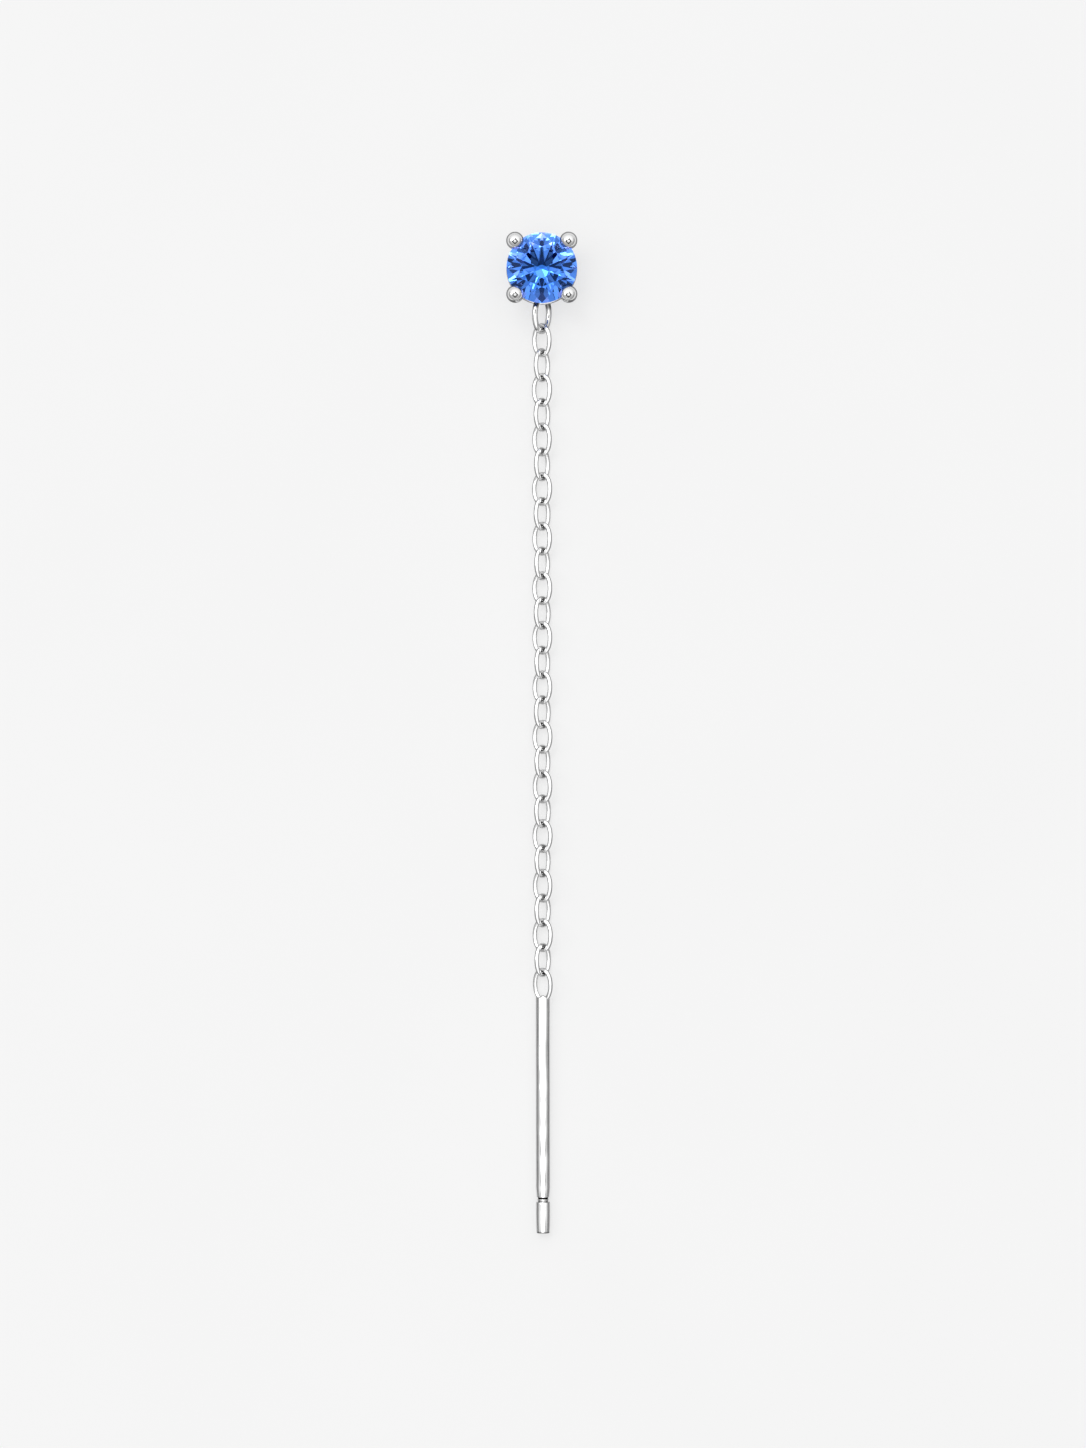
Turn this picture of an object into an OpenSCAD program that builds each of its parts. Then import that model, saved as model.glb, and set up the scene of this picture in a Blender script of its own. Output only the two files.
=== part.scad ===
// Threader earring laid out straight on a flat surface: a round blue stone in a basket
// of four ball-tipped prongs, a fine cable chain, and a straight post with a grooved tip.
// +Z is up, +Y points from the post to the stone, z = 0 is the surface it lies on and
// the origin is at the middle of the whole length. Units are millimetres.

/* [Stone] */
// Diameter of the stone at its girdle
stone_d = 4; // [3.4:0.1:4.6]
// Width of the table across its corners, as a share of the stone
table_share = 0.57; // [0.52:0.01:0.62]
// Reach of the star facets from the table's edge to the girdle, as a share of that way
star_share = 0.5; // [0.4:0.05:0.6]
// Reach of the lower half facets from the girdle to the culet, as a share of that way
lower_half_share = 0.77; // [0.7:0.01:0.85]
// Slope of the crown's main facets in degrees
crown_angle = 34.5; // [31:0.5:37]
// Slope of the pavilion's main facets in degrees
pavilion_angle = 40.75; // [39:0.25:42.5]
// Height of the girdle between its crown and pavilion corners
girdle_h = 0.14; // [0.1:0.01:0.2]
// Height of the culet above the surface
culet_z = 0.3; // [0.2:0.05:0.5]

/* [Setting] */
// Number of prongs round the stone
prong_count = 4; // [4:4:8]
// Diameter of a prong's ball tip
ball_d = 0.99; // [0.8:0.01:1.1]
// Distance of a ball's centre outside the girdle
ball_out = 0.14; // [0.08:0.01:0.2]
// Height of a ball's centre above the girdle's upper corners
ball_up = 0.24; // [0.15:0.01:0.3]
// Diameter of a prong just below its ball
prong_d = 0.8; // [0.6:0.05:0.9]
// Diameter of a prong at its foot
prong_foot_d = 0.6; // [0.45:0.05:0.7]
// Wire diameter of the gallery rail that holds the jump ring
rail_wire_d = 0.26; // [0.22:0.01:0.3]
// Height of the gallery rail's wire centre above the surface
rail_z = 1; // [0.9:0.05:1.2]
// Distance of the gallery rail's outer edge outside the girdle
rail_out = 0.01; // [0:0.01:0.08]
// Outer diameter of the base ring
base_ring_d = 3.3; // [3:0.1:3.4]
// Width of the base ring's band, from its inner to its outer edge
base_ring_w = 0.36; // [0.25:0.01:0.45]
// Height of the base ring
base_ring_h = 0.24; // [0.18:0.02:0.28]
// Clearance between the stone and the metal that holds it
seat_gap = 0.03; // [0.02:0.01:0.06]

/* [Chain] */
// Outer length of the jump ring on the gallery rail
jump_len = 2.28; // [2.1:0.02:2.5]
// Outer width of the jump ring
jump_w = 1.9; // [1.7:0.02:2]
// Wire diameter of the jump ring
jump_wire_d = 0.32; // [0.26:0.01:0.34]
// Angle of the jump ring, its left side raised from flat, in degrees
jump_roll = 60; // [55:1:65]
// Number of loose links between the jump ring and the post
link_count = 26; // [20:2:34]
// Outer length of a link
link_len = 1.94; // [1.8:0.02:2.1]
// Outer width of a link
link_w = 1.36; // [1.24:0.02:1.5]
// Wire diameter of a link
link_wire_d = 0.25; // [0.2:0.01:0.27]
// Clearance between two links where they cross
link_gap = 0.03; // [0.02:0.01:0.05]
// Clearance between the jump ring and the rail or the link that it crosses
jump_gap = 0.04; // [0.03:0.01:0.06]
// Angle of the links with the right side raised, in degrees
right_roll = 38; // [34:1:42]
// Angle of the links with the left side raised, in degrees
left_roll = 52; // [48:1:56]
// Largest stray of one link from its angle, in degrees
roll_stray = 2; // [0:1:4]

/* [Post] */
// Whole length of the post, from its flat upper end to its tip
post_len = 13.42; // [11:0.1:16]
// Diameter of the post's straight shaft
post_d = 0.78; // [0.7:0.01:0.9]
// Depth that the soldered end link is sunk into the post's upper end
end_link_sunk = 0.24; // [0.18:0.01:0.3]
// Diameter of the solder bead on the post's upper end
bead_d = 0.26; // [0.2:0.01:0.32]
// Length of the taper that ends the shaft above the groove
taper_len = 0.55; // [0.2:0.05:0.8]
// Diameter of the shaft where the taper meets the groove
taper_end_d = 0.69; // [0.64:0.01:0.74]
// Width of the groove above the tip
groove_w = 0.28; // [0.15:0.01:0.4]
// Diameter of the neck inside the groove
neck_d = 0.57; // [0.45:0.01:0.61]
// Diameter of the thin collar in the middle of the groove
collar_d = 0.64; // [0.62:0.01:0.68]
// Thickness of the thin collar
collar_w = 0.07; // [0.04:0.01:0.1]
// Length of the barrel-shaped tip below the groove
tip_len = 1.76; // [1.2:0.02:2.4]
// Diameter of the tip at its end
tip_end_d = 0.72; // [0.6:0.01:0.76]
// Distance of the tip's widest place below the groove
tip_bulge = 0.5; // [0.3:0.05:0.8]

/* [Hidden] */
$fn = 48;
// Number of corners on the stone's girdle, a multiple of 16
girdle_n = 64;
// Main facets round the crown and round the pavilion
mains = 8;
// Height of the lowest wire above the surface, so that nothing sinks into it
floor_gap = 0.004;
// Turn between the strays of two links, far from any even share of a circle
stray_turn = 97;
// Steps round a ring of wire, a multiple of 4 so that its tips are corners
ring_steps = 16;
// Sides of a ring's wire, with a flat side towards the ring's middle
wire_sides = 6;
// Shift of a ring's steps towards its tips, where rings cross, in degrees
tip_crowding = 10;
// Length beyond a cut or a joined face
over = 1;

// Corners of a wire's section against its radius, so that it has the round wire's girth
section_swell = PI / (wire_sides * sin(180 / wire_sides));

stone_r = stone_d / 2;
table_r = stone_r * table_share;
// Facet heights above the girdle's upper corners, or below its lower ones, at zero radius
crown_rise = stone_r * tan(crown_angle);
pavilion_drop = stone_r * tan(pavilion_angle);
main_turn = 360 / mains;
table_edge_r = table_r * cos(main_turn / 2);
star_r = table_edge_r + star_share * (stone_r - table_edge_r);
star_h = crown_rise - star_r * cos(main_turn / 2) * tan(crown_angle);
table_h = crown_rise - table_r * tan(crown_angle);
half_r = (1 - lower_half_share) * stone_r;
half_h = pavilion_drop - half_r * cos(main_turn / 2) * tan(pavilion_angle);
girdle_low = culet_z + pavilion_drop;
girdle_top = girdle_low + girdle_h;

ball_r = ball_d / 2;
ball_orbit = stone_r + ball_out;
ball_z = girdle_top + ball_up;
rail_r = stone_r + rail_out - rail_wire_d / 2;
foot_r = (base_ring_d - base_ring_w) / 2;
foot_z = base_ring_h / 2;
head_reach = max(stone_r + rail_out, ball_orbit * cos(180 / prong_count) + ball_r);

// Half of an oval ring's height once it is rolled out of flat
function half_height(width, wire, roll) =
    (width - wire) / 2 * sin(roll) + wire / 2 * section_swell;
jump_rest_z = half_height(jump_w, jump_wire_d, jump_roll) + floor_gap;
chain_z = half_height(link_w, link_wire_d, left_roll + roll_stray) + floor_gap;
end_link_rest_z = half_height(link_w, link_wire_d, right_roll) + floor_gap;
post_z = post_d / 2 + floor_gap;

// Piece 0 is the jump ring, 1 to link_count are loose links, the next is the end link
end_piece = link_count + 1;
// Height of the crossing above piece k, and of the end link's sunk tip below the last one
function crossing_z(k) =
    k == 0 ? rail_z :
    k == 1 ? max(chain_z, 2 * jump_rest_z - rail_z) :
    k == end_piece ? max(chain_z, 2 * end_link_rest_z - post_z) :
    k > end_piece ? post_z : chain_z;
function piece_wire(k) = k == 0 ? jump_wire_d : link_wire_d;
function piece_len(k) = (k == 0 ? jump_len : link_len) - piece_wire(k);
function piece_pitch(k) = asin((crossing_z(k) - crossing_z(k + 1)) / piece_len(k));
function piece_span(k) = piece_len(k) * cos(piece_pitch(k));
function piece_roll(k) =
    k == 0 ? -jump_roll :
    k == end_piece ? right_roll :
    (k % 2 == 1 ? right_roll : -left_roll) + roll_stray * sin(stray_turn * k);
// Way from the stone's axis down to the wire centre at the upper end of piece k
function piece_run(k) =
    k == 0 ? rail_r - (rail_wire_d + jump_wire_d) / 2 - jump_gap :
    piece_run(k - 1) + piece_span(k - 1)
        - (piece_wire(k - 1) + piece_wire(k)) / 2 - (k == 1 ? jump_gap : link_gap);

post_run = piece_run(end_piece) + piece_span(end_piece) + link_wire_d / 2 - end_link_sunk;
head_y = (post_run + post_len - head_reach) / 2;
post_y = head_y - post_run;
shaft_len = post_len - tip_len - groove_w - taper_len;
bead_z = post_z + bead_d / 2;

function two_digits(k) = k < 10 ? str("0", k) : str(k);
function link_name(k) = str("link_", two_digits(k));

function polar(radius, angle, z) = [radius * cos(angle), radius * sin(angle), z];

// Height of a half facet above the corners of the girdle, at the angle from its middle
function scallop(inner_r, inner_h, angle) =
    let (middle = main_turn / 4, edge = stone_r * cos(middle))
    inner_h * (edge - stone_r * cos(angle)) / (edge - inner_r * cos(middle));

// Height of the half facets where they meet the girdle, at corner number i
function girdle_wave(inner_r, inner_h, i) =
    let (half_turn = main_turn / 2, angle = i * 360 / girdle_n)
    scallop(inner_r, inner_h, angle - half_turn * (floor(angle / half_turn) + 0.5));

// Round brilliant cut: table, 8 stars, 8 kites, 16 upper halves, girdle, 16 lower halves
// and 8 pavilion mains, listed ring by ring from the table down
module brilliant() {
    table = [for (i = [0:mains - 1]) polar(table_r, i * main_turn, girdle_top + table_h)];
    stars = [for (i = [0:mains - 1]) polar(star_r, (i + 0.5) * main_turn, girdle_top + star_h)];
    upper = [for (i = [0:girdle_n - 1])
        polar(stone_r, i * 360 / girdle_n, girdle_top + girdle_wave(star_r, star_h, i))];
    lower = [for (i = [0:girdle_n - 1])
        polar(stone_r, i * 360 / girdle_n, girdle_low - girdle_wave(half_r, half_h, i))];
    halves = [for (i = [0:mains - 1]) polar(half_r, (i + 0.5) * main_turn, girdle_low - half_h)];
    culet = [[0, 0, culet_z]];

    star_at = mains;
    upper_at = 2 * mains;
    lower_at = upper_at + girdle_n;
    half_at = lower_at + girdle_n;
    culet_at = half_at + mains;
    step = girdle_n / mains;
    faces = concat(
        [[for (i = [mains - 1:-1:0]) i]],
        [for (i = [0:mains - 1]) [i, (i + 1) % mains, star_at + i]],
        [for (i = [0:mains - 1])
            [i, star_at + i, upper_at + i * step, star_at + (i + mains - 1) % mains]],
        [for (i = [0:mains - 1], j = [0:step - 1])
            [star_at + i, upper_at + (i * step + j + 1) % girdle_n, upper_at + i * step + j]],
        [for (i = [0:girdle_n - 1])
            let (next = (i + 1) % girdle_n)
            [upper_at + i, upper_at + next, lower_at + next, lower_at + i]],
        [for (i = [0:mains - 1], j = [0:step - 1])
            [half_at + i, lower_at + i * step + j, lower_at + (i * step + j + 1) % girdle_n]],
        [for (i = [0:mains - 1])
            [culet_at, half_at + (i + mains - 1) % mains, lower_at + i * step, half_at + i]]
    );
    polyhedron(concat(table, stars, upper, lower, halves, culet), faces, convexity = 2);
}

// Space that the stone takes in the metal, its clearance included
module stone_seat() {
    rise = star_h * stone_r / (stone_r - star_r);
    drop = half_h * stone_r / (stone_r - half_r);
    seat_r = stone_r + seat_gap;
    grow = seat_r / stone_r;
    translate([0, 0, girdle_low])
        cylinder(r = seat_r, h = girdle_h);
    translate([0, 0, girdle_top])
        cylinder(r1 = seat_r, r2 = 0, h = rise * grow);
    translate([0, 0, girdle_low - drop * grow])
        cylinder(r1 = 0, r2 = seat_r, h = drop * grow);
}

module prong() {
    lean = atan2(ball_orbit - foot_r, ball_z - foot_z);
    length = norm([ball_orbit - foot_r, ball_z - foot_z]);
    translate([foot_r, 0, foot_z])
        rotate([0, lean, 0])
            cylinder(d1 = prong_foot_d, d2 = prong_d, h = length);
    translate([ball_orbit, 0, ball_z])
        sphere(d = ball_d);
}

module gallery_rail() {
    translate([0, 0, rail_z])
        rotate_extrude()
            translate([rail_r, 0])
                circle(d = rail_wire_d);
}

module base_ring() {
    difference() {
        cylinder(d = base_ring_d, h = base_ring_h);
        translate([0, 0, -over])
            cylinder(d = base_ring_d - 2 * base_ring_w, h = base_ring_h + 2 * over);
    }
}

module setting() {
    color("silver")
        translate([0, head_y, 0])
            difference() {
                union() {
                    base_ring();
                    gallery_rail();
                    for (i = [0:prong_count - 1])
                        rotate(360 / prong_count * (i + 0.5))
                            prong();
                }
                stone_seat();
                translate([-stone_d, -stone_d, -over])
                    cube([2 * stone_d, 2 * stone_d, over]);
            }
}

module stone() {
    color("royalblue")
        translate([0, head_y, 0])
            brilliant();
}

// Closed oval of wire, flat in XY and long in Y, swept as a mesh with its first ring at +X
module oval_ring(length, width, wire) {
    half_l = (length - wire) / 2;
    half_w = (width - wire) / 2;
    corner_r = wire / 2 * section_swell;
    points = [for (i = [0:ring_steps - 1], j = [0:wire_sides - 1])
        let (
            even = i * 360 / ring_steps,
            t = even + tip_crowding * sin(2 * even),
            outward = [half_l * cos(t), half_w * sin(t)] / norm([half_l * cos(t), half_w * sin(t)]),
            corner = polar(corner_r, (j + 0.5) * 360 / wire_sides, 0)
        )
        [half_w * cos(t) + outward.x * corner.x, half_l * sin(t) + outward.y * corner.x, corner.y]];
    function at(i, j) = (i % ring_steps) * wire_sides + j % wire_sides;
    faces = [for (i = [0:ring_steps - 1], j = [0:wire_sides - 1], half = [0, 1])
        half == 0 ? [at(i, j), at(i, j + 1), at(i + 1, j)]
                  : [at(i + 1, j), at(i, j + 1), at(i + 1, j + 1)]];
    polyhedron(points, faces, convexity = 4);
}

// Puts a piece of the chain, modelled flat at the origin, where piece k lies
module in_chain(k) {
    middle_y = head_y - piece_run(k) - piece_span(k) / 2;
    middle_z = (crossing_z(k) + crossing_z(k + 1)) / 2;
    translate([0, middle_y, middle_z])
        rotate([piece_pitch(k), 0, 0])
            rotate([0, -piece_roll(k), 0])
                children();
}

module jump_ring() {
    color("silver")
        in_chain(0)
            oval_ring(jump_len, jump_w, jump_wire_d);
}

module chain_link(k) {
    color("silver")
        in_chain(k)
            oval_ring(link_len, link_w, link_wire_d);
}

// Turned shape of the post, along +Z from its tip at zero
module post_body() {
    bulge_z = tip_len - tip_bulge;
    post_r = post_d / 2;
    inset = (post_d - tip_end_d) / 2;
    barrel_r = (bulge_z * bulge_z + inset * inset) / (2 * inset);
    rotate_extrude()
        intersection() {
            square([post_r, tip_len]);
            translate([post_r - barrel_r, bulge_z])
                circle(r = barrel_r, $fn = 360);
        }
    translate([0, 0, tip_len])
        cylinder(d = neck_d, h = groove_w);
    translate([0, 0, tip_len + (groove_w - collar_w) / 2])
        cylinder(d = collar_d, h = collar_w);
    translate([0, 0, tip_len + groove_w])
        cylinder(d1 = taper_end_d, d2 = post_d, h = taper_len);
    translate([0, 0, tip_len + groove_w + taper_len])
        cylinder(d = post_d, h = shaft_len);
}

module post() {
    color("silver") {
        translate([0, post_y - post_len, post_z])
            rotate([-90, 0, 0])
                post_body();
        in_chain(end_piece)
            oval_ring(link_len, link_w, link_wire_d);
        translate([0, post_y, bead_z])
            sphere(d = bead_d);
    }
}

setting();
stone();
jump_ring();
for (k = [1:link_count])
    chain_link(k);
post();
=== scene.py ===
import math

import bpy
import numpy as np
from bpy.props import FloatProperty, FloatVectorProperty, IntProperty, PointerProperty
from mathutils import Matrix, Vector
from mathutils.bvhtree import BVHTree


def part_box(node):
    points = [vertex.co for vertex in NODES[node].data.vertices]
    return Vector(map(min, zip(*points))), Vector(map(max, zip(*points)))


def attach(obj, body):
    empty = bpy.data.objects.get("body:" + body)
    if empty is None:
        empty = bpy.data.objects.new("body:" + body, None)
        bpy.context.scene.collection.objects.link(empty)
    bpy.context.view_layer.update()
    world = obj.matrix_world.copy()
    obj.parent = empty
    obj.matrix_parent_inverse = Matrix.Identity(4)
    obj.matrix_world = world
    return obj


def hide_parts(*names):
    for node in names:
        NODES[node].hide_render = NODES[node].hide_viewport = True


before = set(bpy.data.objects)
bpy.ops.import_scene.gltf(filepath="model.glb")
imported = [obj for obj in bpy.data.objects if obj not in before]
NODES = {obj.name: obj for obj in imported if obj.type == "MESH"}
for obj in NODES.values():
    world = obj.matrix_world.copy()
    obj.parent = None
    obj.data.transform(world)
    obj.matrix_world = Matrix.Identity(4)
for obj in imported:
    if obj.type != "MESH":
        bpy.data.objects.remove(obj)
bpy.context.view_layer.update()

bl_info = {
    "name": "Threader Earring",
    "version": (1, 0, 0),
    "blender": (4, 5, 0),
    "location": "View3D > Sidebar > Earring",
    "description": "Dresses a threader earring: basket, blue stone, cable chain and post",
    "category": "Object",
}

# The frame: nodes, places and lengths that everything else follows
LINKS = sorted(name for name in NODES if name.startswith("link_"))
MM = 0.001

stone_low, stone_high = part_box("stone")
HEAD_Y = (stone_low.y + stone_high.y) / 2
STONE_R = (stone_high.x - stone_low.x) / 2
CULET_Z = stone_low.z
POST_TIP_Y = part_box("post")[0].y

# Fineness of the round forms
BASKET_SIDES = 128
RAIL_WIRE_SIDES = 24
PRONG_SIDES = 64
BALL_STEPS = 28
POST_SIDES = 96
BARREL_STEPS = 14
EDGE_STEPS = 5
BEAD_SIDES = 32
WIRE_STEPS = 6
OVAL_STEPS = 16
SMOOTH_BELOW = math.radians(32)
NEARLY = 0.999


# Sizes and colours
def length_prop(name, description, default_mm):
    return FloatProperty(name=name, description=description, default=default_mm * MM,
                         unit="LENGTH", subtype="DISTANCE", precision=5)


def angle_prop(name, description, default_degrees):
    return FloatProperty(name=name, description=description, unit="ROTATION", subtype="ANGLE",
                         default=math.radians(default_degrees))


def power_prop(name, description, default_watts):
    return FloatProperty(name=name, description=description, default=default_watts, unit="POWER",
                         precision=6)


def share_prop(name, description, default):
    return FloatProperty(name=name, description=description, default=default, subtype="FACTOR",
                         min=0, max=1)


def colour_prop(name, description, default):
    return FloatVectorProperty(name=name, description=description, default=default,
                               subtype="COLOR", size=3, min=0, max=1)


class BasketSizes(bpy.types.PropertyGroup):
    """Sizes of the basket that holds the stone"""
    prong_count: IntProperty(name="Prongs", description="Number of prongs", default=4)
    ball_d: length_prop("Ball", "Diameter of a prong's ball tip", 0.99)
    ball_out: length_prop("Ball out", "Ball centre outside the girdle", 0.14)
    ball_up: length_prop("Ball up", "Ball centre above the girdle", 0.24)
    prong_d: length_prop("Prong", "Diameter of a prong just below its ball", 0.8)
    prong_foot_d: length_prop("Prong foot", "Diameter of a prong at its foot", 0.6)
    rail_wire_d: length_prop("Rail wire", "Wire diameter of the gallery rail", 0.26)
    rail_z: length_prop("Rail height", "Height of the gallery rail's wire centre", 1)
    rail_out: length_prop("Rail out", "Rail's outer edge outside the girdle", 0.01)
    base_ring_d: length_prop("Base ring", "Outer diameter of the base ring", 3.3)
    base_ring_w: length_prop("Base ring width", "Width of the base ring's band", 0.36)
    base_ring_h: length_prop("Base ring height", "Height of the base ring", 0.24)
    edge: length_prop("Softened edge", "Width of the base ring's softened edges", 0.03)
    seat_gap: length_prop("Seat gap", "Clearance between the stone and its seat", 0.03)
    seat_rise: FloatProperty(name="Seat rise", default=1.2,
                             description="Height of the cut over the stone, in cones of its crown")
    girdle_h: length_prop("Girdle", "Height of the stone's girdle", 0.14)
    crown_angle: angle_prop("Crown angle", "Slope of the seat above the girdle", 34.5)
    pavilion_angle: angle_prop("Pavilion angle", "Slope of the stone's main facets", 40.75)


class ChainSizes(bpy.types.PropertyGroup):
    """Sizes of the jump ring and the links"""
    jump_len: length_prop("Jump ring length", "Outer length of the jump ring", 2.28)
    jump_w: length_prop("Jump ring width", "Outer width of the jump ring", 1.9)
    jump_wire_d: length_prop("Jump ring wire", "Wire diameter of the jump ring", 0.32)
    link_len: length_prop("Link length", "Outer length of a link", 1.94)
    link_w: length_prop("Link width", "Outer width of a link", 1.36)
    link_wire_d: length_prop("Link wire", "Wire diameter of a link", 0.25)


class PostSizes(bpy.types.PropertyGroup):
    """Sizes of the post"""
    post_len: length_prop("Post length", "Whole length of the post", 13.42)
    post_d: length_prop("Post diameter", "Diameter of the straight shaft", 0.78)
    floor_gap: length_prop("Floor gap", "Height of the post's underside above the floor", 0.004)
    taper_len: length_prop("Taper length", "Length of the taper above the groove", 0.55)
    taper_end_d: length_prop("Taper end", "Diameter where the taper meets the groove", 0.69)
    groove_w: length_prop("Groove width", "Width of the groove above the tip", 0.28)
    neck_d: length_prop("Neck", "Diameter of the neck inside the groove", 0.57)
    collar_d: length_prop("Collar", "Diameter of the collar in the groove", 0.64)
    collar_w: length_prop("Collar width", "Thickness of the collar", 0.07)
    tip_len: length_prop("Tip length", "Length of the barrel-shaped tip", 1.76)
    tip_end_d: length_prop("Tip end", "Diameter of the tip at its end", 0.72)
    tip_bulge: length_prop("Tip bulge", "Tip's widest place below the groove", 0.5)
    end_link_sunk: length_prop("End link sunk", "Depth of the end link in the post", 0.24)
    end_link_roll: angle_prop("End link roll", "Angle of the end link, right side up", 38)
    bead_d: length_prop("Bead", "Diameter of the solder bead", 0.26)
    edge: length_prop("Softened edge", "Rounding of the turned edges", 0.02)
    tip_edge: length_prop("Tip edge", "Rounding of the tip's end", 0.035)


class Finishes(bpy.types.PropertyGroup):
    """Colours and lustre"""
    silver: colour_prop("Silver", "Colour of the bright silver", (0.93, 0.93, 0.925))
    silver_shade: colour_prop("Silver shade", "Colour of the duller silver", (0.84, 0.84, 0.845))
    stone: colour_prop("Stone", "Colour of the stone", (0.14, 0.45, 0.97))
    stone_deep: colour_prop("Stone, deep", "Colour of the stone's deeper zones", (0.09, 0.38, 0.97))
    stone_rim: colour_prop("Stone, rim", "Colour of the stone near its girdle", (0.4, 0.58, 0.98))
    stone_depth: colour_prop("Stone depth", "Colour that thick stone goes toward", (0.02, 0.35, 0.97))
    # Silver closer than this to another piece gets painted shade
    crevice_reach: length_prop("Crevice reach", "Gap between pieces that still looks dark", 0.2)
    floor: colour_prop("Floor", "Colour of the floor", (0.875, 0.875, 0.875))


class StageSizes(bpy.types.PropertyGroup):
    """Camera, lights and floor"""
    camera_height: length_prop("Camera height", "Height of the camera above the floor", 300)
    camera_x: length_prop("Camera X", "Place of the camera across the earring", 0.034)
    camera_y: length_prop("Camera Y", "Place of the camera along the earring", 0.57)
    camera_roll: angle_prop("Camera roll", "Turn of the camera about its line of sight", -0.077)
    picture_height: length_prop("Picture height", "Height of the floor in the picture", 82.54)
    floor_size: length_prop("Floor size", "Side of the floor", 4000)
    key_tilt: angle_prop("Key tilt", "Key light's angle from straight above", 28)
    key_turn: angle_prop("Key turn", "Key light's side, from +X toward +Y", 122)
    key_size: angle_prop("Key size", "Apparent size of the key light", 24)
    key_strength: FloatProperty(name="Key", description="Strength of the key light", default=0.62)
    fill_size: length_prop("Fill size", "Diameter of the fill light", 160)
    fill_strength: power_prop("Fill", "Power of the fill light", 0.1)
    strip_width: length_prop("Strip width", "Width of the strip light over chain and post", 3.9)
    strip_height: length_prop("Strip height", "Height of the strip light", 3.2)
    strip_start: length_prop("Strip start", "Upper end of the strip light below the stone", 2.8)
    strip_past: length_prop("Strip past", "Length of the strip light past the post's tip", 4)
    strip_spread: angle_prop("Strip spread", "Angle that the strip light shines over", 160)
    strip_strength: power_prop("Strip", "Power of the strip light", 0.00063)
    glow: share_prop("Glow", "Share of the floor's brightness that is its own light", 0.72)
    dome_strength: FloatProperty(name="Dome", description="Strength of the dome", default=1.0)


GROUPS = {
    "earring_basket": BasketSizes,
    "earring_chain": ChainSizes,
    "earring_post": PostSizes,
    "earring_finishes": Finishes,
    "earring_stage": StageSizes,
}


# Ways of modelling
def edit(on):
    """Goes into edit mode, or back out of it."""
    bpy.ops.object.mode_set(mode="EDIT" if on else "OBJECT")


def pick(piece):
    """Selects one piece alone."""
    bpy.ops.object.select_all(action="DESELECT")
    piece.select_set(True)
    bpy.context.view_layer.objects.active = piece


def start(name):
    """Names the object that was just added, and leaves it alone selected."""
    piece = bpy.context.object
    pick(piece)
    piece.name = piece.data.name = name
    return piece


def place(piece, matrix):
    """Puts a piece in its place, with the place kept in its mesh."""
    piece.data.transform(matrix)
    piece.data.update()
    return piece


def copy_of(pattern, name):
    """Copy of a piece, with a mesh of its own."""
    pick(pattern)
    bpy.ops.object.duplicate(linked=False)
    return start(name)


def turned(name, profile, sides):
    """Solid turned about +Z: a disc drawn up from station to station of (height, radius)."""
    bpy.ops.object.select_all(action="DESELECT")
    height, radius = profile[0]
    bpy.ops.mesh.primitive_circle_add(vertices=sides, radius=radius, fill_type="NGON",
                                      location=(0, 0, 0))
    piece = start(name)
    edit(True)
    bpy.ops.mesh.select_all(action="SELECT")
    bpy.ops.transform.translate(value=(0, 0, height))
    for next_height, next_radius in profile[1:]:
        bpy.ops.mesh.extrude_region_move(
            TRANSFORM_OT_translate={"value": (0, 0, next_height - height)})
        grow = next_radius / radius
        bpy.ops.transform.resize(value=(grow, grow, 1), center_override=(0, 0, next_height))
        height, radius = next_height, next_radius
    bpy.ops.mesh.select_all(action="SELECT")
    bpy.ops.mesh.normals_make_consistent(inside=False)
    edit(False)
    return piece


def combine(piece, others, operation):
    """Joins other solids to a piece, or cuts them out of it."""
    for other in others:
        step = piece.modifiers.new(operation.lower(), "BOOLEAN")
        step.operation = operation
        step.solver = "MANIFOLD"
        step.object = other
        bpy.context.view_layer.objects.active = piece
        bpy.ops.object.modifier_apply(modifier=step.name)
        bpy.data.objects.remove(other)
    return piece


def smooth(piece):
    """Shades a piece smooth, with its sharp edges kept."""
    pick(piece)
    bpy.ops.object.shade_smooth_by_angle(angle=SMOOTH_BELOW)


def finish_piece(piece, material, replaced):
    """Gives a piece its finish, and lets it stand for a node of the frame."""
    piece.data.materials.clear()
    piece.data.materials.append(material)
    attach(piece, "root")
    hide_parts(replaced)


def arc(centre, radius, first, last, steps):
    """Points (height, radius) on a circle round centre, by angle from the +radius way."""
    points = []
    for step in range(steps + 1):
        angle = first + (last - first) * step / steps
        points.append((centre[0] + radius * math.sin(angle), centre[1] + radius * math.cos(angle)))
    return points


def oval(name, length, width, wire_d):
    """Oval ring of round wire, flat in XY and long in Y: a stretched circle with a round bevel."""
    bpy.ops.object.select_all(action="DESELECT")
    bpy.ops.curve.primitive_bezier_circle_add(radius=1, location=(0, 0, 0), enter_editmode=True)
    bpy.ops.curve.select_all(action="SELECT")
    bpy.ops.transform.resize(value=((width - wire_d) / 2, (length - wire_d) / 2, 1))
    bpy.ops.object.mode_set(mode="OBJECT")
    ring = start(name)
    ring.data.resolution_u = OVAL_STEPS
    ring.data.bevel_depth = wire_d / 2
    ring.data.bevel_resolution = WIRE_STEPS
    bpy.ops.object.convert(target="MESH")
    bpy.ops.object.shade_smooth()
    return start(name)


def ring_place(node):
    """Matrix that lays a flat ring, long in Y, where a ring of the frame lies.

    The ring's three directions are those of the spread of the node's points."""
    corners = np.array([v.co for v in NODES[node].data.vertices])
    middle = corners.mean(0)
    spread, axes = np.linalg.eigh(np.cov((corners - middle).T))
    normal, across, along = (Vector(axes[:, i]) for i in np.argsort(spread))
    if along.y < 0:
        along.negate()
    if across.x < 0:
        across.negate()
    normal = across.cross(along)
    return Matrix.Translation(middle) @ Matrix((across, along, normal)).transposed().to_4x4()


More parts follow.
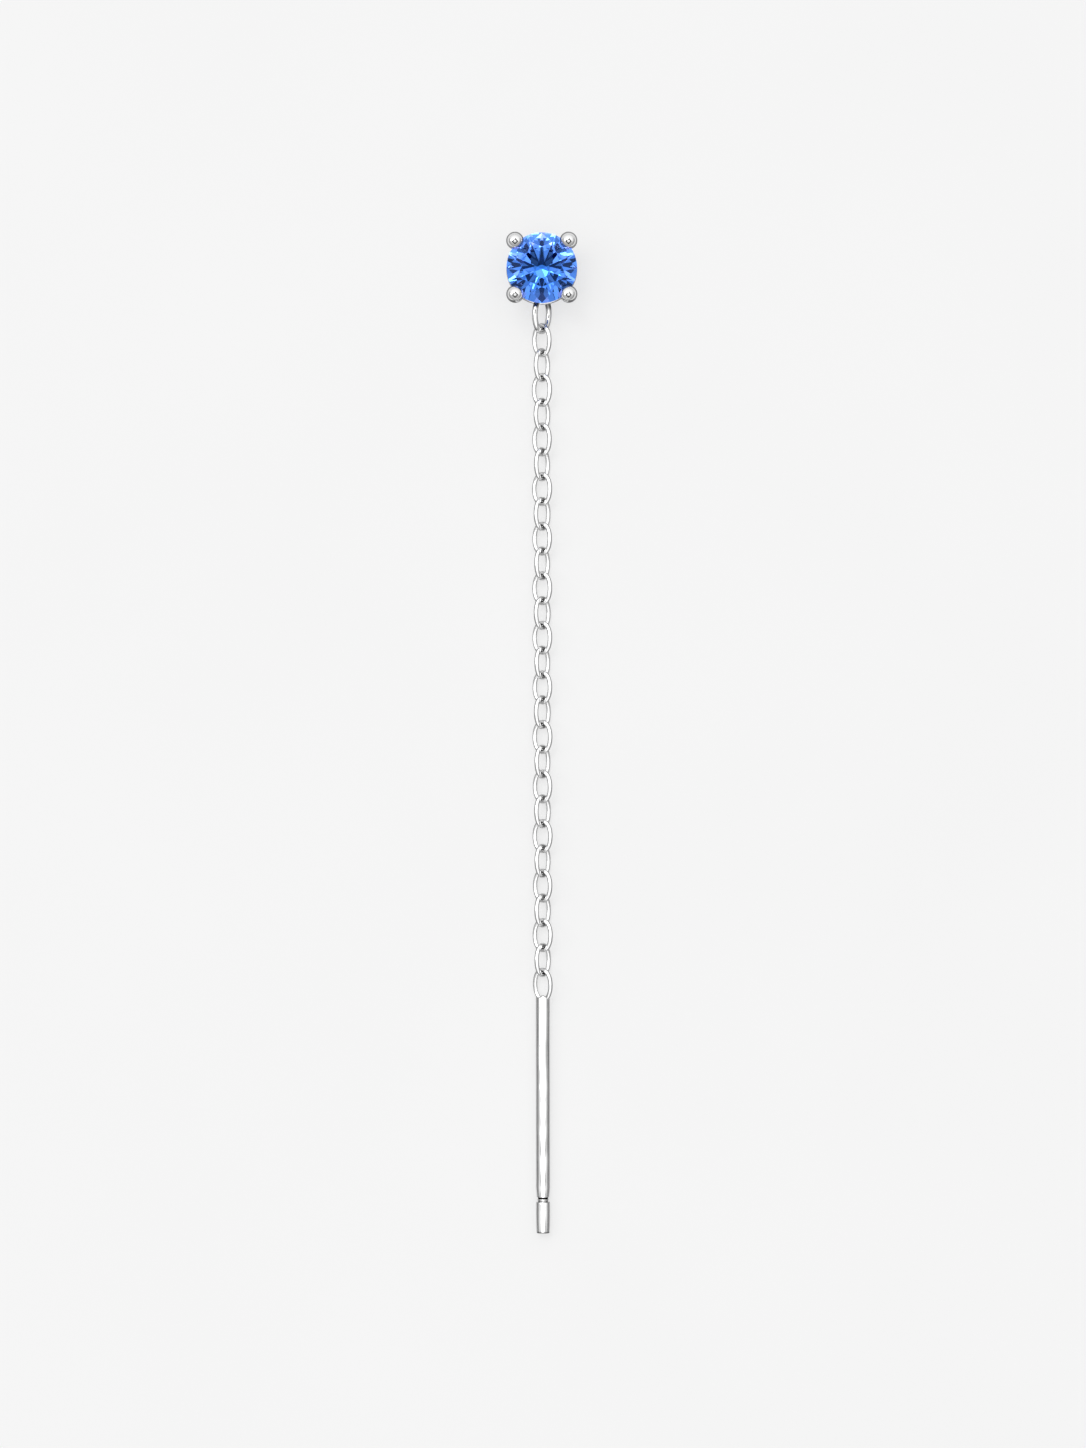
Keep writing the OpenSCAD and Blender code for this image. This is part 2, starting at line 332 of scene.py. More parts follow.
def ball_places(size):
    """Centres of the ball tips, turn by turn."""
    orbit = STONE_R + size.ball_out
    height = CULET_Z + STONE_R * math.tan(size.pavilion_angle) + size.girdle_h + size.ball_up
    turns = [2 * math.pi * (turn + 0.5) / size.prong_count for turn in range(size.prong_count)]
    return [Vector((orbit * math.cos(turn), HEAD_Y + orbit * math.sin(turn), height)) for turn in turns]


# Finishes
def shader_group(name, inputs, outputs):
    """A new shader node group with its own sockets, given as (name, type, default)."""
    group = bpy.data.node_groups.new(name, "ShaderNodeTree")
    for socket, kind, default in inputs:
        made = group.interface.new_socket(socket, in_out="INPUT", socket_type=kind)
        made.default_value = default
    for socket, kind in outputs:
        group.interface.new_socket(socket, in_out="OUTPUT", socket_type=kind)
    return group


def add_node(tree, kind, settings=(), **inputs):
    """A node of a tree. An input is a value, or the output of another node.

    An input is named with _ for a space, or by its number after a _."""
    node = tree.nodes.new(kind)
    for key, value in dict(settings).items():
        setattr(node, key, value)
    for key, value in inputs.items():
        socket = node.inputs[int(key[1:])] if key[0] == "_" else node.inputs[key.replace("_", " ")]
        if isinstance(value, bpy.types.NodeSocket):
            tree.links.new(value, socket)
        else:
            socket.default_value = value
    return node


def calc(tree, operation, *values):
    """Output of a math node."""
    node = tree.nodes.new("ShaderNodeMath")
    node.operation = operation
    for socket, value in zip(node.inputs, values):
        if isinstance(value, bpy.types.NodeSocket):
            tree.links.new(value, socket)
        else:
            socket.default_value = value
    return node.outputs[0]


def ease(tree, value, start, end, first, last):
    """Soft step: first up to start, last from end on."""
    step = add_node(tree, "ShaderNodeMapRange", {"interpolation_type": "SMOOTHSTEP"}, Value=value,
                    _1=start, _2=end, _3=first, _4=last)
    return step.outputs[0]


def polish_group():
    """Wear of hand-polished silver: soft haze, fine hairlines and a slow ripple."""
    group = shader_group(
        "Hand polish",
        [("Vector", "NodeSocketVector", (0, 0, 0)),
         ("Haze Scale", "NodeSocketFloat", 1500),
         ("Hairline Scale", "NodeSocketFloat", 20000),
         ("Ripple Scale", "NodeSocketFloat", 1000),
         ("Low Roughness", "NodeSocketFloat", 0.03),
         ("High Roughness", "NodeSocketFloat", 0.12)],
        [("Roughness", "NodeSocketFloat"), ("Haze", "NodeSocketFloat"),
         ("Height", "NodeSocketFloat")])
    entry = group.nodes.new("NodeGroupInput").outputs
    haze = add_node(group, "ShaderNodeTexNoise", Vector=entry["Vector"], Scale=entry["Haze Scale"],
                    Detail=3.0, Roughness=0.55)
    hairlines = add_node(group, "ShaderNodeTexNoise", Vector=entry["Vector"],
                         Scale=entry["Hairline Scale"], Detail=2.0)
    mixed = add_node(group, "ShaderNodeMath", {"operation": "MULTIPLY_ADD"},
                     _0=hairlines.outputs["Fac"], _1=0.35, _2=haze.outputs["Fac"])
    spread = add_node(group, "ShaderNodeMapRange", Value=mixed.outputs[0], _1=0.4, _2=0.95,
                      _3=entry["Low Roughness"], _4=entry["High Roughness"])
    ripple = add_node(group, "ShaderNodeTexNoise", Vector=entry["Vector"],
                      Scale=entry["Ripple Scale"], Detail=0.0)
    height = add_node(group, "ShaderNodeMath", {"operation": "MULTIPLY_ADD"},
                      _0=hairlines.outputs["Fac"], _1=0.004, _2=ripple.outputs["Fac"])
    leave = group.nodes.new("NodeGroupOutput").inputs
    group.links.new(spread.outputs[0], leave["Roughness"])
    group.links.new(haze.outputs["Fac"], leave["Haze"])
    group.links.new(height.outputs[0], leave["Height"])
    return group


def polished_silver(name, colours, group, stretch, haze_scale, hairline_scale, ripple,
                    ripple_scale=1000, shade_bands=()):
    """Polished silver with its own direction and depth of polish.

    Each band is a (start, end, softness, shade) along Y where shade is painted into the silver."""
    material = bpy.data.materials.new(name)
    material.use_nodes = True
    tree = material.node_tree
    surface = tree.nodes["Principled BSDF"]
    surface.inputs["Metallic"].default_value = 1
    surface.inputs["Specular Tint"].default_value = (0.35, 0.35, 0.36, 1)
    coordinates = add_node(tree, "ShaderNodeTexCoord")
    mapping = add_node(tree, "ShaderNodeMapping", Vector=coordinates.outputs["Object"],
                       Scale=stretch)
    polish = tree.nodes.new("ShaderNodeGroup")
    polish.node_tree = group
    tree.links.new(mapping.outputs[0], polish.inputs["Vector"])
    polish.inputs["Haze Scale"].default_value = haze_scale
    polish.inputs["Hairline Scale"].default_value = hairline_scale
    polish.inputs["Ripple Scale"].default_value = ripple_scale
    polish.inputs["Low Roughness"].default_value = 0.03
    polish.inputs["High Roughness"].default_value = 0.1
    tint = add_node(tree, "ShaderNodeMix", {"data_type": "RGBA"}, _0=polish.outputs["Haze"])
    tint.inputs[6].default_value = (*colours.silver, 1)
    tint.inputs[7].default_value = (*colours.silver_shade, 1)
    colour = tint.outputs[2]
    if shade_bands:
        run = add_node(tree, "ShaderNodeSeparateXYZ", Vector=coordinates.outputs["Object"])
    # Painted shade in bands along Y, such as the post's groove and tip end and the jump ring under the
    # stone
    for first, last, soft, shade in shade_bands:
        off = calc(tree, "ABSOLUTE", calc(tree, "SUBTRACT", run.outputs["Y"], (first + last) / 2))
        inside = ease(tree, off, (last - first) / 2 - soft, (last - first) / 2 + soft, 1, 0)
        darker = add_node(tree, "ShaderNodeMix", {"data_type": "RGBA"}, _0=inside, _6=colour)
        darker.inputs[7].default_value = (shade, shade, shade, 1)
        colour = darker.outputs[2]
    # Painted shade: silver that another piece all but touches goes nearly black
    crevice = add_node(tree, "ShaderNodeAttribute", {"attribute_name": "crevice"})
    crevice_shade = ease(tree, crevice.outputs["Fac"], 0.4, 0.75, 0, 0.95)
    crevice_shaded = add_node(tree, "ShaderNodeMix", {"data_type": "RGBA"}, _0=crevice_shade, _6=colour)
    crevice_shaded.inputs[7].default_value = (0.03, 0.028, 0.028, 1)
    colour = crevice_shaded.outputs[2]
    bump = add_node(tree, "ShaderNodeBump", Height=polish.outputs["Height"], Strength=1.0,
                    Distance=ripple)
    tree.links.new(colour, surface.inputs["Base Color"])
    tree.links.new(polish.outputs["Roughness"], surface.inputs["Roughness"])
    tree.links.new(bump.outputs[0], surface.inputs["Normal"])
    return material


def blue_stone(colours):
    """Clear blue stone with soft zones of deeper colour."""
    material = bpy.data.materials.new("Blue stone")
    material.use_nodes = True
    tree = material.node_tree
    surface = tree.nodes["Principled BSDF"]
    surface.inputs["Transmission Weight"].default_value = 1
    surface.inputs["Roughness"].default_value = 0
    surface.inputs["IOR"].default_value = 1.77
    surface.inputs["Specular Tint"].default_value = (0.2, 0.3, 1, 1)
    coordinates = add_node(tree, "ShaderNodeTexCoord")
    zones = add_node(tree, "ShaderNodeTexNoise", Vector=coordinates.outputs["Object"],
                     Scale=900.0, Detail=2.0, Roughness=0.5)
    tint = add_node(tree, "ShaderNodeMix", {"data_type": "RGBA"}, _0=zones.outputs["Fac"])
    tint.inputs[6].default_value = (*colours.stone, 1)
    tint.inputs[7].default_value = (*colours.stone_deep, 1)
    place_in = add_node(tree, "ShaderNodeMapping", Vector=coordinates.outputs["Object"],
                        Location=(0, -HEAD_Y / STONE_R, 0), Scale=(1 / STONE_R, 1 / STONE_R, 0))
    off_centre = add_node(tree, "ShaderNodeVectorMath", {"operation": "LENGTH"},
                          Vector=place_in.outputs[0])
    to_rim = ease(tree, off_centre.outputs["Value"], 0.5, 0.75, 0, 1)
    paler = add_node(tree, "ShaderNodeMix", {"data_type": "RGBA"}, _0=to_rim, _6=tint.outputs[2])
    paler.inputs[7].default_value = (*colours.stone_rim, 1)
    tree.links.new(paler.outputs[2], surface.inputs["Base Color"])
    depth = add_node(tree, "ShaderNodeVolumeAbsorption", Density=200.0)
    depth.inputs["Color"].default_value = (*colours.stone_depth, 1)
    tree.links.new(depth.outputs[0], tree.nodes["Material Output"].inputs["Volume"])
    return material


# Pieces
class EARRING_OT_basket(bpy.types.Operator):
    """Builds the silver basket: base ring, gallery rail and ball-tipped prongs"""
    bl_idname = "earring.basket"
    bl_label = "Basket"

    def execute(self, context):
        size = context.scene.earring_basket
        ball_r = size.ball_d / 2
        girdle_low = CULET_Z + STONE_R * math.tan(size.pavilion_angle)
        girdle_top = girdle_low + size.girdle_h
        ball = ball_places(size)[0]
        ball_orbit, ball_z = STONE_R + size.ball_out, ball.z
        foot_r = (size.base_ring_d - size.base_ring_w) / 2
        foot_z = size.base_ring_h / 2
        at_head = Matrix.Translation((0, HEAD_Y, 0))

        outer = size.base_ring_d / 2
        inner = outer - size.base_ring_w
        basket = turned("basket", [(0, outer), (size.base_ring_h, outer)], BASKET_SIDES)
        opening = turned("opening", [(-size.edge, inner), (size.base_ring_h + size.edge, inner)],
                         BASKET_SIDES)
        combine(basket, [opening], "DIFFERENCE")
        edit(True)
        bpy.ops.mesh.select_all(action="DESELECT")
        bpy.ops.mesh.edges_select_sharp(sharpness=math.radians(60))
        bpy.ops.mesh.bevel(offset=size.edge, segments=4, profile=0.5)
        edit(False)

        bpy.ops.object.select_all(action="DESELECT")
        bpy.ops.mesh.primitive_torus_add(
            major_radius=STONE_R + size.rail_out - size.rail_wire_d / 2,
            minor_radius=size.rail_wire_d / 2, major_segments=BASKET_SIDES,
            minor_segments=RAIL_WIRE_SIDES)
        parts = [place(start("rail"), Matrix.Translation((0, 0, size.rail_z)))]

        lean = math.atan2(ball_orbit - foot_r, ball_z - foot_z)
        length = math.hypot(ball_orbit - foot_r, ball_z - foot_z)
        neck_r = size.prong_d / 2
        join_angle = -math.acos(neck_r / ball_r)
        ball_arc = arc((length, 0), ball_r, join_angle, math.radians(89.55), BALL_STEPS)
        profile = [(0, size.prong_foot_d / 2)] + ball_arc
        pattern = turned("prong_pattern", profile, PRONG_SIDES)
        for turn in range(size.prong_count):
            prong = copy_of(pattern, f"prong_{turn}")
            angle = 2 * math.pi * (turn + 0.5) / size.prong_count
            place(prong, Matrix.Rotation(angle, 4, "Z") @ Matrix.Translation((foot_r, 0, foot_z))
                  @ Matrix.Rotation(lean, 4, "Y"))
            parts.append(prong)
        bpy.data.objects.remove(pattern)
        combine(basket, parts, "UNION")

        seat_r = STONE_R + size.seat_gap
        point_r = seat_r * (1 - NEARLY)
        rise = seat_r * math.tan(size.crown_angle) * size.seat_rise * NEARLY
        drop = seat_r * math.tan(size.pavilion_angle) * NEARLY
        seat = turned("seat", [(girdle_low - drop, point_r), (girdle_low, seat_r),
                               (girdle_top, seat_r), (girdle_top + rise, point_r)], BASKET_SIDES)
        combine(basket, [seat], "DIFFERENCE")
        place(basket, at_head)
        smooth(basket)
        finish_piece(basket, bpy.data.materials["Cast silver"], "setting")
        return {"FINISHED"}


class EARRING_OT_stone(bpy.types.Operator):
    """Gives the stone its clear blue"""
    bl_idname = "earring.stone"
    bl_label = "Stone"

    def execute(self, context):
        stone = NODES["stone"]
        stone.data.materials.clear()
        stone.data.materials.append(bpy.data.materials["Blue stone"])
        return {"FINISHED"}


class EARRING_OT_chain(bpy.types.Operator):
    """Builds the jump ring and the links of round wire"""
    bl_idname = "earring.chain"
    bl_label = "Chain"

    def execute(self, context):
        size = context.scene.earring_chain
        jump_silver = bpy.data.materials["Jump ring silver"]
        silver = bpy.data.materials["Drawn silver wire"]
        jump_ring = oval("jump_ring_wire", size.jump_len, size.jump_w, size.jump_wire_d)
        place(jump_ring, ring_place("jump_ring"))
        finish_piece(jump_ring, jump_silver, "jump_ring")
        pattern = oval("link_pattern", size.link_len, size.link_w, size.link_wire_d)
        for node in LINKS:
            link = copy_of(pattern, f"chain_{node}")
            place(link, ring_place(node))
            finish_piece(link, silver, node)
        bpy.data.objects.remove(pattern)
        return {"FINISHED"}


class EARRING_OT_post(bpy.types.Operator):
    """Builds the post with its grooved tip, solder bead and end link"""
    bl_idname = "earring.post"
    bl_label = "Post"

    def execute(self, context):
        size = context.scene.earring_post
        chain = context.scene.earring_chain
        post_r = size.post_d / 2
        post_z = post_r + size.floor_gap
        quarter = math.pi / 2
        edge, end_edge = size.edge, size.tip_edge

        # The tip's side is part of a great circle, widest at the bulge.
        bulge_z = size.tip_len - size.tip_bulge
        inset = (size.post_d - size.tip_end_d) / 2
        barrel_r = (bulge_z ** 2 + inset ** 2) / (2 * inset)

        def barrel(z):
            return post_r - barrel_r + math.sqrt(barrel_r ** 2 - (z - bulge_z) ** 2)

        profile = arc((end_edge, size.tip_end_d / 2 - end_edge), end_edge, -quarter, 0, 8)
        for step in range(1, BARREL_STEPS + 1):
            z = end_edge + (size.tip_len - edge - end_edge) * step / BARREL_STEPS
            profile.append((z, barrel(z)))

        # Groove and collar, then taper and shaft
        groove_z = size.tip_len
        neck_r, collar_half = size.neck_d / 2, size.collar_w / 2
        collar_z = groove_z + size.groove_w / 2 - collar_half
        taper_z = groove_z + size.groove_w
        profile += arc((groove_z - edge, barrel(groove_z) - edge), edge, 0, quarter, EDGE_STEPS)[1:]
        profile += [(groove_z + 0.0005 * MM, neck_r), (collar_z, neck_r)]
        profile += arc((collar_z + collar_half, size.collar_d / 2 - collar_half), collar_half,
                       -quarter, quarter, 8)
        profile += [(collar_z + size.collar_w, neck_r), (taper_z, neck_r)]
        profile += arc((taper_z + edge, size.taper_end_d / 2 - edge), edge, -quarter, 0, EDGE_STEPS)
        profile += [(taper_z + size.taper_len, post_r), (size.post_len - edge, post_r)]
        profile += arc((size.post_len - edge, post_r - edge), edge, 0, quarter, EDGE_STEPS)[1:]
        post = turned("threader_post", profile, POST_SIDES)
        place(post, Matrix.Translation((0, POST_TIP_Y, post_z)) @ Matrix.Rotation(-quarter, 4, "X"))

        # The end link rises from the post's end to the foot of the last loose link.
        post_top_y = POST_TIP_Y + size.post_len
        span = chain.link_len - chain.link_wire_d
        upper_z = (ring_place(LINKS[-1]) @ Vector((0, -span / 2, 0))).z
        sunk = Vector((0, post_top_y - size.end_link_sunk + chain.link_wire_d / 2, post_z))
        pitch = math.asin((upper_z - post_z) / span)
        end_link = oval("end_link", chain.link_len, chain.link_w, chain.link_wire_d)
        place(end_link, Matrix.Translation(sunk) @ Matrix.Rotation(pitch, 4, "X")
              @ Matrix.Translation((0, span / 2, 0)) @ Matrix.Rotation(-size.end_link_roll, 4, "Y"))
        bead_r, nearly_up = size.bead_d / 2, quarter * 0.99
        bead = turned("bead", arc((0, 0), bead_r, -nearly_up, nearly_up, 20), BEAD_SIDES)
        place(bead, Matrix.Translation((0, post_top_y, post_z + bead_r)))
        combine(post, [end_link, bead], "UNION")
        smooth(post)
        finish_piece(post, bpy.data.materials["Turned silver"], "post")
        return {"FINISHED"}


class EARRING_OT_crevices(bpy.types.Operator):
    """Marks where neighbouring pieces all but touch, so that shade can be painted into the silver there
    """
    bl_idname = "earring.crevices"
    bl_label = "Crevices"

    def execute(self, context):
        size = context.scene.earring_finishes
        row = ["basket", "jump_ring_wire", *[f"chain_{node}" for node in LINKS], "threader_post"]
        row = [bpy.data.objects[name] for name in row]
        trees = {piece: BVHTree.FromPolygons([point.co for point in piece.data.vertices],
                                             [face.vertices for face in piece.data.polygons])
                 for piece in [*row, NODES["stone"]]}
        for turn, piece in enumerate(row):
            near = [trees[other] for other in row[max(0, turn - 1):turn + 2] if other != piece]
            if piece.name == "basket":
                near.append(trees[NODES["stone"]])
            depth = piece.data.attributes.new("crevice", "FLOAT", "POINT")
            for point in piece.data.vertices:
                gap = min(tree.find_nearest(point.co)[3] for tree in near)
                depth.data[point.index].value = max(0, 1 - gap / size.crevice_reach)
        return {"FINISHED"}


class EARRING_OT_finishes(bpy.types.Operator):
    """Mixes the finishes of silver and stone"""
    bl_idname = "earring.finishes"
    bl_label = "Finishes"

    def execute(self, context):
        colours = context.scene.earring_finishes
        group = polish_group()
        post = context.scene.earring_post
        groove_low = POST_TIP_Y + post.tip_len
        groove_top = groove_low + post.groove_w
        gap = (post.groove_w - post.collar_w) / 2
        # Painted shade: nearly black in the groove above the collar, grey below it and at the tip's
        # end, and on the jump ring under the stone
        post_shade_bands = [(groove_top - gap, groove_top, 0.003 * MM, 0.02),
                      (groove_low, groove_low + gap, 0.003 * MM, 0.4),
                      (POST_TIP_Y - 0.1 * MM, POST_TIP_Y + 0.08 * MM, 0.03 * MM, 0.3)]
        shade_under_stone = (HEAD_Y - 2.2 * MM, HEAD_Y, 0.12 * MM, 0.25)
        polished_silver("Cast silver", colours, group, (1, 1, 1), 1200, 12000, 0.006 * MM)
        polished_silver("Drawn silver wire", colours, group, (1, 0.5, 1), 1500, 12000, 0.003 * MM)
        polished_silver("Jump ring silver", colours, group, (1, 0.5, 1), 1500, 12000, 0.003 * MM,
                        shade_bands=[shade_under_stone])
        polished_silver("Turned silver", colours, group, (1, 0.7, 1), 900, 12000, 0.1 * MM,
                        ripple_scale=1100, shade_bands=post_shade_bands)
        blue_stone(colours)
        return {"FINISHED"}


# Floor, light and camera
class EARRING_OT_stage(bpy.types.Operator):
    """Sets up the pale floor, the soft light and the camera"""
    bl_idname = "earring.stage"
    bl_label = "Stage"

    def execute(self, context):
        size = context.scene.earring_stage
        colours = context.scene.earring_finishes
        scene = context.scene
        scene.view_settings.view_transform = "Standard"

        bpy.ops.object.select_all(action="DESELECT")
        bpy.ops.mesh.primitive_plane_add(size=size.floor_size, location=(0, 0, 0))
        floor = start("floor")
        floor.data.materials.append(self.paper(colours.floor, size.glow))

        turn = Matrix.Rotation(size.key_turn, 4, "Z") @ Matrix.Rotation(size.key_tilt, 4, "Y")
        bpy.ops.object.light_add(type="SUN", rotation=turn.to_euler(), location=(-0.1, 0.1, 0.3))
        key = start("key_light")
        key.data.energy = size.key_strength
        key.data.angle = size.key_size

        bpy.ops.object.light_add(type="AREA", location=(-0.25, 0.05, 0.25))
        fill = start("fill_light")
        fill.data.shape = "DISK"
        fill.data.size = size.fill_size
        fill.data.energy = size.fill_strength
        fill.rotation_euler = (-fill.location).to_track_quat("-Z", "Y").to_euler()

        self.strip_light(size)
        self.light_dome(scene, size.dome_strength)

        bpy.ops.object.camera_add(location=(size.camera_x, size.camera_y, size.camera_height),
                                  rotation=(0, 0, size.camera_roll))
        camera = start("camera")
        camera.data.lens = camera.data.sensor_width * size.camera_height / size.picture_height
        camera.data.clip_start = 0.01
        camera.data.clip_end = 10
        scene.camera = camera
        return {"FINISHED"}

    def strip_light(self, size):
        """Long soft light over chain and post, seen only in their polish.

        It covers the dome's dark diamond there, which is for the ball tips alone."""
        first = HEAD_Y - size.strip_start
        last = POST_TIP_Y - size.strip_past
        bpy.ops.object.light_add(type="AREA", location=(0, (first + last) / 2, size.strip_height))
        strip = start("strip_light")
        strip.data.shape = "RECTANGLE"
        strip.data.size = size.strip_width
        strip.data.size_y = first - last
        strip.data.spread = size.strip_spread
        strip.data.energy = size.strip_strength
        strip.visible_camera = False
        strip.visible_diffuse = False
        strip.visible_transmission = False

    def paper(self, colour, glow):
        """Matt pale paper over a light, with a dark strip on each side that only the silver shows.

        The camera sees the paper itself, with its glow. Light that the paper throws on the
        earring is dimmer, so that the silver's undersides keep their depth."""
        material = bpy.data.materials.new("Pale paper")
        material.use_nodes = True
        tree = material.node_tree
        surface = tree.nodes["Principled BSDF"]
        surface.inputs["Roughness"].default_value = 0.9
        surface.inputs["Specular IOR Level"].default_value = 0.1
        coordinates = add_node(tree, "ShaderNodeTexCoord")
        mottle = add_node(tree, "ShaderNodeTexNoise", Vector=coordinates.outputs["Object"],
                          Scale=60.0, Detail=3.0)
        shade = add_node(tree, "ShaderNodeMix", {"data_type": "RGBA"}, _0=mottle.outputs["Fac"])
        shade.inputs[6].default_value = (*colour, 1)
        shade.inputs[7].default_value = (*[value * 0.975 for value in colour], 1)

        # How far a spot lies from the line that the earring lies on
        spot = add_node(tree, "ShaderNodeSeparateXYZ", Vector=coordinates.outputs["Object"])
        beyond = calc(tree, "MAXIMUM", calc(tree, "SUBTRACT", spot.outputs["Y"], HEAD_Y),
                      calc(tree, "SUBTRACT", POST_TIP_Y, spot.outputs["Y"]))
        beyond = calc(tree, "MAXIMUM", beyond, 0.0)
        away = calc(tree, "SQRT", calc(tree, "MULTIPLY_ADD", beyond, beyond,
                                       calc(tree, "MULTIPLY", spot.outputs["X"], spot.outputs["X"])))
        strip = calc(tree, "MAXIMUM", ease(tree, away, 0.9 * MM, 1.4 * MM, 0.8, 0.14),
                     ease(tree, away, 4 * MM, 9 * MM, 0, 0.75))

        # The strip is less dark round the head.
        dim = 0.36
        for_silver = calc(tree, "MAXIMUM", strip,
                          ease(tree, spot.outputs["Y"], HEAD_Y - 6 * MM, HEAD_Y - 3 * MM, 0, dim))
        ray = add_node(tree, "ShaderNodeLightPath")
        mirrored = add_node(tree, "ShaderNodeMix", {"data_type": "FLOAT"},
                            _0=ray.outputs["Is Glossy Ray"], _2=dim, _3=for_silver)
        plain = calc(tree, "MAXIMUM", ray.outputs["Is Camera Ray"], ray.outputs["Is Diffuse Ray"])
        seen = add_node(tree, "ShaderNodeMix", {"data_type": "RGBA"}, _0=plain,
                        _6=mirrored.outputs[0], _7=shade.outputs[2])
        dimmed = add_node(tree, "ShaderNodeMix", {"data_type": "RGBA", "blend_type": "MULTIPLY"},
                          _0=ray.outputs["Is Camera Ray"], _6=seen.outputs[2])
        dimmed.inputs[7].default_value = (1 - glow, 1 - glow, 1 - glow, 1)
        tree.links.new(dimmed.outputs[2], surface.inputs["Base Color"])
        tree.links.new(shade.outputs[2], surface.inputs["Emission Color"])
        tree.links.new(calc(tree, "MULTIPLY", ray.outputs["Is Camera Ray"], glow * 1.04),
                       surface.inputs["Emission Strength"])
        return material

    def light_dome(self, scene, strength):
        """A white dome with dark openings that draw the metal and the facets.

        A direction is given across and along the earring, as tangents of half its angle from
        straight above: 0 is the zenith and 1 is the horizon."""
        world = bpy.data.worlds.new("Studio")
        world.use_nodes = True
        scene.world = world
        tree = world.node_tree
        tree.nodes.clear()
        coordinates = add_node(tree, "ShaderNodeTexCoord")
        way = add_node(tree, "ShaderNodeSeparateXYZ", Vector=coordinates.outputs["Generated"])
        lift = calc(tree, "MAXIMUM", calc(tree, "ADD", way.outputs["Z"], 1.0), 0.05)
        across = calc(tree, "DIVIDE", way.outputs["X"], lift)
        along = calc(tree, "DIVIDE", way.outputs["Y"], lift)

        def reach(centre_x, centre_y, radius_x, radius_y):
            """Distance from a direction of the dome, in half-angle tangents."""
            side = calc(tree, "DIVIDE", calc(tree, "SUBTRACT", across, centre_x), radius_x)
            rise = calc(tree, "DIVIDE", calc(tree, "SUBTRACT", along, centre_y), radius_y)
            return calc(tree, "SQRT", calc(tree, "MULTIPLY_ADD", side, side,
                                           calc(tree, "MULTIPLY", rise, rise)))

        # Dimmer toward the post's end and toward the horizon, and dimmer still at both sides
        walls = ease(tree, along, -0.4, 0.05, 0.55, 1.15)
        walls = calc(tree, "MULTIPLY", walls, ease(tree, reach(-0.05, 0, 1, 1), 0.3, 1.05, 1, 0.6))
        sides = calc(tree, "MULTIPLY", ease(tree, calc(tree, "ABSOLUTE", across), 0.45, 0.85, 0, 0.5),
                     ease(tree, calc(tree, "ABSOLUTE", along), 0.2, 0.45, 1, 0))
        walls = calc(tree, "MULTIPLY", walls, calc(tree, "SUBTRACT", 1.0, sides))

        # The camera's small port, and the dark diamond with a white middle on the ball tips
        for_metal = calc(tree, "MULTIPLY", walls,
                         ease(tree, reach(0, 0.043, 1, 1), 0.008, 0.013, 0.02, 1))
        ray = add_node(tree, "ShaderNodeLightPath")
        diamond = calc(tree, "ADD", calc(tree, "ABSOLUTE", across),
                       calc(tree, "ABSOLUTE", calc(tree, "ADD", along, 0.132)))
        diamond = calc(tree, "MAXIMUM", ease(tree, diamond, 0.38, 0.42, 0.03, 1),
                       ease(tree, reach(0, -0.118, 1, 1), 0.165, 0.185, 1, 0))
        diamond = calc(tree, "MAXIMUM", diamond,
                       calc(tree, "SUBTRACT", 1.0, ray.outputs["Is Glossy Ray"]))
        for_metal = calc(tree, "MULTIPLY", for_metal, diamond)

        # The stone sees a bright ceiling with an opening that makes its dark facets.
        opening = reach(0, -0.11, 0.13, 0.12)
        ceiling = calc(tree, "MULTIPLY", ease(tree, along, -0.02, 0.2, 0.85, 2.7),
                       ease(tree, reach(0, 0, 1, 1), 0.4, 0.6, 1, 0.5))
        for_stone = calc(tree, "MULTIPLY_ADD", ceiling, ease(tree, opening, 0.8, 1.2, 0, 1),
                         ease(tree, opening, 0.8, 1.2, 0.11, 0))
        lit = add_node(tree, "ShaderNodeMix", {"data_type": "FLOAT"},
                       _0=ray.outputs["Is Transmission Ray"], _2=for_metal, _3=for_stone)
        seen = add_node(tree, "ShaderNodeMix", {"data_type": "FLOAT"},
                        _0=ray.outputs["Is Camera Ray"], _2=lit.outputs[0], _3=0.9)

        # A rose tint beyond the head keeps the stone's brightest facets from going green.
        rose = calc(tree, "MULTIPLY", ray.outputs["Is Transmission Ray"],
                    ease(tree, along, 0.02, 0.2, 0, 1))
        tint = add_node(tree, "ShaderNodeMix", {"data_type": "RGBA"}, _0=rose)
        tint.inputs[6].default_value = (1, 1, 1, 1)
        tint.inputs[7].default_value = (1.4, 0.92, 1, 1)
        light = add_node(tree, "ShaderNodeBackground", Color=tint.outputs[2],
                         Strength=calc(tree, "MULTIPLY", seen.outputs[0], strength))
        leave = add_node(tree, "ShaderNodeOutputWorld")
        tree.links.new(light.outputs[0], leave.inputs["Surface"])


# Panel and start
class EARRING_PT_parts(bpy.types.Panel):
    """Lists the earring's pieces in the sidebar"""
    bl_label = "Earring"
    bl_idname = "EARRING_PT_parts"
    bl_space_type = "VIEW_3D"
    bl_region_type = "UI"
    bl_category = "Earring"

    def draw(self, context):
        for operator in OPERATORS:
            self.layout.operator(operator.bl_idname)
        for name, group in GROUPS.items():
            box = self.layout.box()
            box.label(text=group.__doc__)
            for prop in group.__annotations__:
                box.prop(getattr(context.scene, name), prop)


OPERATORS = (EARRING_OT_finishes, EARRING_OT_basket, EARRING_OT_stone, EARRING_OT_chain,
             EARRING_OT_post, EARRING_OT_crevices, EARRING_OT_stage)
CLASSES = (*GROUPS.values(), *OPERATORS, EARRING_PT_parts)


def register():
    for cls in CLASSES:
        bpy.utils.register_class(cls)
    for name, group in GROUPS.items():
        setattr(bpy.types.Scene, name, PointerProperty(type=group))


def unregister():
    for name in GROUPS:
        delattr(bpy.types.Scene, name)
    for cls in reversed(CLASSES):
        bpy.utils.unregister_class(cls)


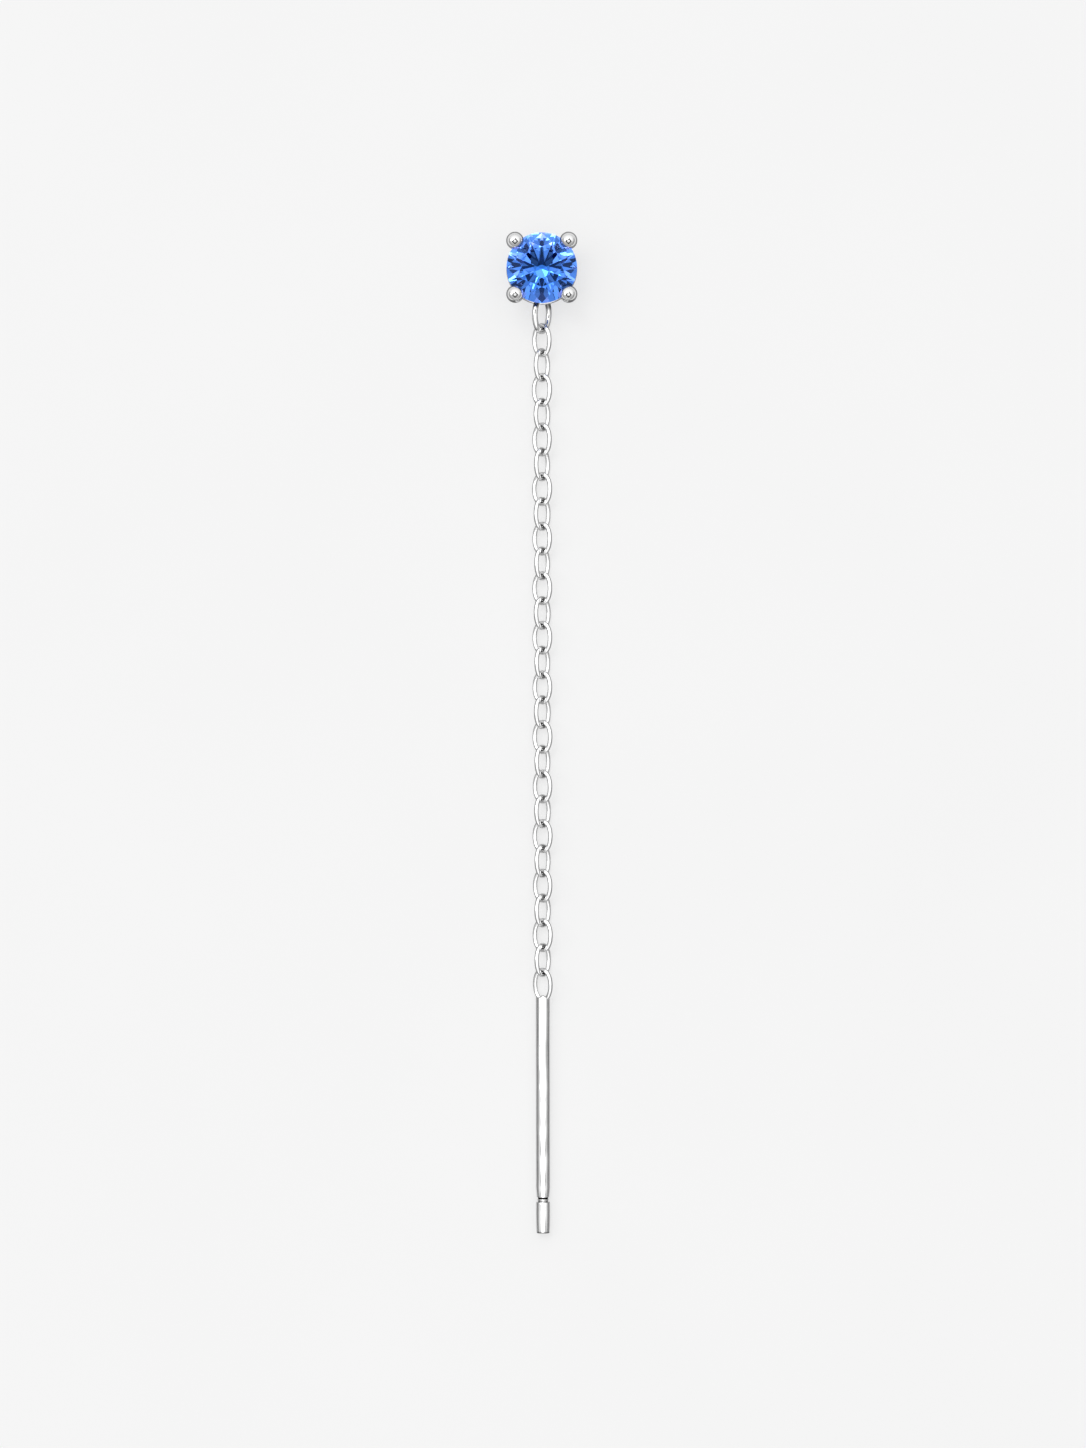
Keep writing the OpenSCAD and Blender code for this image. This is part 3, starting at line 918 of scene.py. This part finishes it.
def main():
    register()
    bpy.ops.earring.finishes()
    bpy.ops.earring.basket()
    bpy.ops.earring.stone()
    bpy.ops.earring.chain()
    bpy.ops.earring.post()
    bpy.ops.earring.crevices()
    bpy.ops.earring.stage()


if __name__ == "__main__":
    main()
